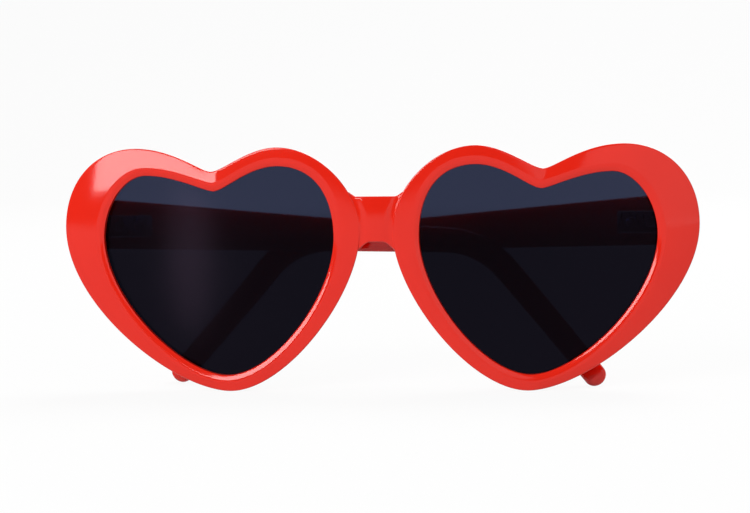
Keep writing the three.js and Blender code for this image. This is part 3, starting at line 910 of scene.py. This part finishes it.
# the butt stands back by what swings forward at the open stop, and by what the droop tilts forward
butt_lead = ROOT_SIZE[0] / 2 * math.sin(DROOP)
butt = -seat_stand_off + (seat_stand_off + ROOT_SIZE[1]) * math.sin(OVER_OPEN) + SEAT_GAP + butt_lead
print("a temple starts", round(-butt, 2), "mm in front of its pin")

# %% Path of a temple


def heading(angle):
    return Vector((math.cos(angle), -math.sin(angle)))


def upright(angle):
    return Vector((math.sin(angle), math.cos(angle)))


def size_between(start, end, share):
    return [a + (b - a) * share for a, b in zip(start, end)]


def temple_stops():
    """Place along and up, slope, (height, thickness) and inward curl of each section."""
    tangent = BEND_RADIUS * math.tan((HOOK - DROOP) / 2)
    bend = Vector((TO_BEND, RISE - TO_BEND * math.tan(DROOP)))
    start = Vector((butt, RISE - butt * math.tan(DROOP)))
    arm_end = bend - heading(DROOP) * tangent
    hook_start = bend + heading(HOOK) * tangent
    tip_drop = math.hypot(TIP_LENGTH * math.sin(HOOK), TIP_SIZE[0] / 2 * math.cos(HOOK))
    hook_end = bend + heading(HOOK) * ((pin.z + bend.y - tip_drop) / math.sin(HOOK))
    centre = arm_end - upright(DROOP) * BEND_RADIUS
    stops = [(start, DROOP, [size - 2 * BUTT_BEVEL for size in ROOT_SIZE], -BUTT_BEVEL)]
    start = start + heading(DROOP) * BUTT_BEVEL
    for i in range(ARM_STEPS):
        share = i / ARM_STEPS
        stops.append((start.lerp(arm_end, share), DROOP, size_between(ROOT_SIZE, BEND_SIZE, share), 0))
    for i in range(BEND_STEPS + 1):
        angle = DROOP + (HOOK - DROOP) * i / BEND_STEPS
        stops.append((centre + upright(angle) * BEND_RADIUS, angle, BEND_SIZE, 0))
    for i in range(1, HOOK_STEPS + 1):
        share = i / HOOK_STEPS
        place = hook_start.lerp(hook_end, share)
        stops.append((place, HOOK, size_between(BEND_SIZE, TIP_SIZE, share), HOOK_BOW * share**2))
    for i in range(1, TIP_STEPS):
        turn = i / TIP_STEPS * math.pi / 2
        thickness = TIP_SIZE[1] * math.sqrt(math.cos(turn))
        place = hook_end + heading(HOOK) * TIP_LENGTH * math.sin(turn)
        size = (TIP_SIZE[0] * math.cos(turn), thickness)
        stops.append((place, HOOK, size, HOOK_BOW - (TIP_SIZE[1] - thickness) / 2))
    return stops


stops = temple_stops()
print("temple of", len(stops), "sections, the last", round(stops[-1][0].x, 2), "mm behind the pin")

# %% Folded temples
TEMPLE_EDGE_ROUND = 0.55
TEMPLE_EDGE_STEPS = 5
STACK_GAP = 0.15

# the left temple is lifted to lie over the right one where that one's bend crosses it
crossing = 2 * pin.x - TO_BEND - BEND_SIZE[0]
fold_lift = math.atan((BEND_SIZE[1] + STACK_GAP) / crossing)
FOLDS = {
    "left": at_pin @ Matrix.Rotation(math.pi / 2 - fold_lift, 4, "Z"),
    "right": MIRROR @ at_pin @ Matrix.Rotation(math.pi / 2, 4, "Z"),
}


def temple_ring(place, angle, size, curl):
    half = size[0] / 2
    inner = seat_stand_off - curl
    outer = inner + size[1]
    edge_round = min(TEMPLE_EDGE_ROUND, half, size[1] / 2)
    section = rectangle(inner, outer, -half, half, edge_round, TEMPLE_EDGE_STEPS)
    up = upright(angle)
    return [Vector((p.x, place.x + up.x * p.y, place.y + up.y * p.y)) for p in section]


def temple(side, fold):
    made = skin(f"hooked_temple_{side}", [temple_ring(*stop) for stop in stops])
    drilled = [moved(screw_hole(), on_temple_leaf(y)) for y in temple_places.values()]
    moved(combine(made, drilled, "DIFFERENCE"), fold)
    return dress(made, temple_red, f"temple_{side}", "red_plastic", f"temple_{side}")


for side, fold in FOLDS.items():
    temple(side, fold)
print("the left temple lies over the right one at", round(math.degrees(fold_lift), 2), "degrees")

# %% [markdown]
# ## Hinges
# Each hinge has three knuckles in a row on one screw: two belong to the leaf on the front and the
# middle one to the leaf on the temple. The knuckles are turned, the plates have round corners, and
# a small bevel round their edges catches the light as stamped and plated metal does. A leaf could
# be bent from one sheet, but joining a plate, a web and a knuckle is easier to follow.

# %% Knuckles and plates
KNUCKLE_HEIGHT = 1.3
KNUCKLE_CHAMFER = 0.08
PIN_RADIUS = 0.4
PIN_CLEARANCE = 0.05
LEAF_CORNER = 0.45
LEAF_CORNER_STEPS = 6
LEAF_EDGE = 0.08

knuckle_pitch = KNUCKLE_HEIGHT + KNUCKLE_GAP
knuckle_top = knuckle_pitch + KNUCKLE_HEIGHT / 2


def knuckle(z0):
    z1 = z0 + KNUCKLE_HEIGHT
    return turned("knuckle", [
        (KNUCKLE_RADIUS - KNUCKLE_CHAMFER, z0),
        (KNUCKLE_RADIUS, z0 + KNUCKLE_CHAMFER),
        (KNUCKLE_RADIUS, z1 - KNUCKLE_CHAMFER),
        (KNUCKLE_RADIUS - KNUCKLE_CHAMFER, z1),
    ])


def pin_bore():
    """A rod that runs well past both ends of the hinge."""
    radius = PIN_RADIUS + PIN_CLEARANCE
    return turned("bore", [(radius, -2 * knuckle_top), (radius, 2 * knuckle_top)])


def plate(name, x0, x1, y0, y1):
    """A stamped leaf lying on Z = 0, with round corners and bevelled edges."""
    levels = [
        (0, LEAF_EDGE),
        (LEAF_EDGE, 0),
        (LEAF_THICKNESS - LEAF_EDGE, 0),
        (LEAF_THICKNESS, LEAF_EDGE),
    ]
    rings = []
    for z, inset in levels:
        sides = (x0 + inset, x1 - inset, y0 + inset, y1 - inset)
        ring = rectangle(*sides, LEAF_CORNER - inset, LEAF_CORNER_STEPS)
        rings.append([Vector((p.x, p.y, z)) for p in ring])
    return skin(name, rings)


print("three knuckles stand", round(2 * knuckle_top, 2), "mm high")

# %% Leaves
TEMPLE_LEAF_HEIGHT = 2.9
WEB_HALF_WIDTH = 0.6
FACING_FRONT = Matrix.Rotation(-math.pi / 2, 4, "X")
FACING_TEMPLE = Matrix(((0, 0, 1, 0), (1, 0, 0, 0), (0, 1, 0, 0), (0, 0, 0, 1)))


def front_leaf(side, matrix):
    half = FRONT_LEAF_HEIGHT / 2
    behind = -leaf_stand_off - LEAF_THICKNESS
    flat = plate(f"front_leaf_{side}", -FRONT_LEAF_INBOARD, FRONT_LEAF_OUTBOARD, -half, half)
    made = moved(flat, Matrix.Translation((0, behind, 0)) @ FACING_FRONT)
    joined = []
    for z in (-knuckle_top, knuckle_pitch - KNUCKLE_HEIGHT / 2):
        joined.append(knuckle(z))
        joined.append(block(-WEB_HALF_WIDTH, WEB_HALF_WIDTH, behind, 0, z, z + KNUCKLE_HEIGHT))
    combine(made, joined, "UNION")
    cuts = [pin_bore()] + [moved(screw_hole(), on_front_leaf(z)) for z in front_places.values()]
    moved(combine(made, cuts, "DIFFERENCE"), matrix @ at_pin)
    return dress(made, nickel, "front", "hinge_metal", f"hinge_front_leaf_{side}")


def temple_leaf(side, fold):
    half = TEMPLE_LEAF_HEIGHT / 2
    behind = leaf_stand_off + LEAF_THICKNESS
    low = -KNUCKLE_HEIGHT / 2
    end = leaf_stand_off + TEMPLE_LEAF_LENGTH
    flat = plate(f"temple_leaf_{side}", leaf_stand_off, end, -half, half)
    made = moved(flat, Matrix.Translation((leaf_stand_off, 0, 0)) @ FACING_TEMPLE)
    arm_end = leaf_stand_off + WEB_HALF_WIDTH
    arm = block(leaf_stand_off - WEB_HALF_WIDTH, behind, 0, arm_end, low, -low)
    neck = block(0, leaf_stand_off, -WEB_HALF_WIDTH, WEB_HALF_WIDTH, low, -low)
    combine(made, [knuckle(low), arm, neck], "UNION")
    cuts = [pin_bore()] + [moved(screw_hole(), on_temple_leaf(y)) for y in temple_places.values()]
    moved(combine(made, cuts, "DIFFERENCE"), fold)
    return dress(made, nickel, f"temple_{side}", "hinge_metal", f"hinge_temple_leaf_{side}")


print("leaves are", FRONT_LEAF_HEIGHT, "and", TEMPLE_LEAF_HEIGHT, "mm high")

# %% Pin screws, and the hinges put together
PIN_HEAD_RADIUS = 0.75
PIN_HEAD_HEIGHT = 0.5
PIN_TAIL = 0.2
PIN_TAIL_SHARE = 0.7


def pin_screw(side, matrix):
    foot = knuckle_top + SEAT_GAP
    top = foot + PIN_HEAD_HEIGHT
    shank = [
        (PIN_RADIUS * PIN_TAIL_SHARE, -knuckle_top - PIN_TAIL),
        (PIN_RADIUS, -knuckle_top),
        (PIN_RADIUS, foot),
    ]
    made = turned(f"pin_screw_{side}", shank + domed_head(PIN_HEAD_RADIUS, foot, top))
    moved(slotted(made, PIN_HEAD_RADIUS, top), matrix @ at_pin)
    return dress(made, steel, "front", "screw_steel", f"hinge_screw_{side}")


for side, matrix in SIDES.items():
    front_leaf(side, matrix)
    temple_leaf(side, FOLDS[side])
    pin_screw(side, matrix)
    for place, z in front_places.items():
        screw = moved(leaf_screw(f"leaf_screw_{place}_{side}"), matrix @ at_pin @ on_front_leaf(z))
        dress(screw, steel, "front", "screw_steel", f"front_leaf_screw_{place}_{side}")
    for place, y in temple_places.items():
        screw = moved(leaf_screw(f"leaf_screw_{place}_{side}"), FOLDS[side] @ on_temple_leaf(y))
        dress(screw, steel, f"temple_{side}", "screw_steel", f"temple_leaf_screw_{place}_{side}")

# %% [markdown]
# ## Floor and backdrop
# The photograph has a plain white ground. A pale sheet runs along the floor and up behind the
# glasses, as in a studio. Strong lamps could bleach it, but they would bleach the glasses too. So
# it glows white to the camera, in reflections and through the lenses, and keeps a little of its
# own shading there for a faint shadow. To all other light it is grey, so that it does not flood
# the glasses from below.

# %% Finish of the sheet
SHEET_GREY = (0.35, 0.35, 0.35, 1)
SHEET_PALE = (0.85, 0.85, 0.85, 1)
SHEET_WHITE = 0.92
SHEET_ROUGHNESS = 0.9


def sheet_finish():
    finish, tree, shader = new_finish("pale_sheet")
    path = tree.nodes.new("ShaderNodeLightPath")
    seen = path.outputs["Is Camera Ray"]
    for other in ("Is Glossy Ray", "Is Transmission Ray"):
        seen = calculate(tree, "MAXIMUM", seen, path.outputs[other])
    set_inputs(shader, {"Roughness": SHEET_ROUGHNESS, "Specular IOR Level": 0.0})
    tree.links.new(between(tree, seen, SHEET_GREY, SHEET_PALE, "RGBA"), shader.inputs["Base Color"])
    glow = tree.nodes.new("ShaderNodeEmission")
    blend = tree.nodes.new("ShaderNodeMixShader")
    tree.links.new(between(tree, seen, 0.0, SHEET_WHITE), blend.inputs["Fac"])
    tree.links.new(shader.outputs["BSDF"], blend.inputs[1])
    tree.links.new(glow.outputs["Emission"], blend.inputs[2])
    tree.links.new(blend.outputs["Shader"], tree.nodes["Material Output"].inputs["Surface"])
    return finish


pale = sheet_finish()
print(pale.name, "has", len(pale.node_tree.nodes), "nodes")

# %% Floor and backdrop in one sheet
SHEET_FRONT, SHEET_TURN, SHEET_BACK = -2500.0, 700.0, 1100.0
SHEET_TOP = 2000.0
SHEET_HALF_WIDTH = 3000.0
SHEET_TURN_STEPS = 16


def sheet_profile():
    radius = SHEET_BACK - SHEET_TURN
    profile = [Vector((SHEET_FRONT, 0))]
    for i in range(SHEET_TURN_STEPS + 1):
        angle = i / SHEET_TURN_STEPS * math.pi / 2
        profile.append(Vector((SHEET_TURN + radius * math.sin(angle), radius * (1 - math.cos(angle)))))
    profile.append(Vector((SHEET_BACK, SHEET_TOP)))
    return profile


profile = sheet_profile()
points = [(x, p.x, p.y) for p in profile for x in (-SHEET_HALF_WIDTH, SHEET_HALF_WIDTH)]
faces = [(2 * i, 2 * i + 1, 2 * i + 3, 2 * i + 2) for i in range(len(profile) - 1)]
sheet = add_object("pale_sheet", points, faces)
sheet.data.materials.append(pale)
sheet.data.shade_smooth()
print("sheet of", len(faces), "faces")

# %% [markdown]
# ## Light
# The key softbox hangs where the outer lobe on the picture's left mirrors it, which makes the
# broad highlight there and the thin line on the bevels. A weak one fills the right side, one behind
# lights the back, and a dim world fills the rest. A small strip close by gives one lens a smoky
# streak to mirror. It is linked to the lenses alone, because on the polished rims it would draw a
# hard white line.

# %% World
WORLD_FRONT = 0.16
WORLD_BACK = 0.50
WORLD_TURN = (-1.0, 0.6)
WHITE = (1, 1, 1, 1)


def studio_world():
    world = bpy.data.worlds.new("studio")
    world.use_nodes = True
    tree = world.node_tree
    background = tree.nodes["Background"]
    set_inputs(background, {"Color": WHITE})
    strength = along(tree, "Generated", "Y", *WORLD_TURN, WORLD_FRONT, WORLD_BACK)
    tree.links.new(strength, background.inputs["Strength"])
    return world


bpy.context.scene.world = studio_world()
print("world from", WORLD_FRONT, "in front to", WORLD_BACK, "behind")

# %% Softboxes
LOBE = Vector((-30, front_y, 28))
STREAK = Vector((-25.2, front_y, 12.5))
KEY = {"azimuth": -28, "elevation": 18, "distance": 900, "size": (540, 375), "radiance": 10.4}
FILL = {"azimuth": 34, "elevation": 15, "distance": 700, "size": (680, 390), "radiance": 1.0}
REAR = {"azimuth": 160, "elevation": 50, "distance": 900, "size": (500, 500), "radiance": 7.5}
STRIP = {"azimuth": -20, "elevation": 0, "distance": 100, "size": (11, 26), "radiance": 3.5}


def softbox(name, aimed_at, azimuth, elevation, distance, size, radiance, shape="RECTANGLE"):
    lamp = bpy.data.lights.new(name, "AREA")
    lamp.shape = shape
    lamp.size, lamp.size_y = (s * MM for s in size)
    lamp.energy = radiance * math.pi * lamp.size * lamp.size_y
    made = bpy.data.objects.new(name, lamp)
    bpy.context.scene.collection.objects.link(made)
    towards = direction(math.radians(azimuth), math.radians(elevation))
    made.location = (aimed_at + towards * distance) * MM
    made.rotation_mode = "QUATERNION"
    made.rotation_quaternion = (-towards).to_track_quat("-Z", "Y")
    print(name, "gives", round(lamp.energy, 2), "W")
    return made


softbox("key_softbox", LOBE, **KEY)
softbox("fill_softbox", target, **FILL)
softbox("rear_softbox", target, **REAR)
strip = softbox("lens_strip", STREAK, **STRIP, shape="ELLIPSE")
lit_by_strip = bpy.data.collections.new("lit_by_strip")
for made in lenses:
    lit_by_strip.objects.link(made)
strip.light_linking.receiver_collection = lit_by_strip
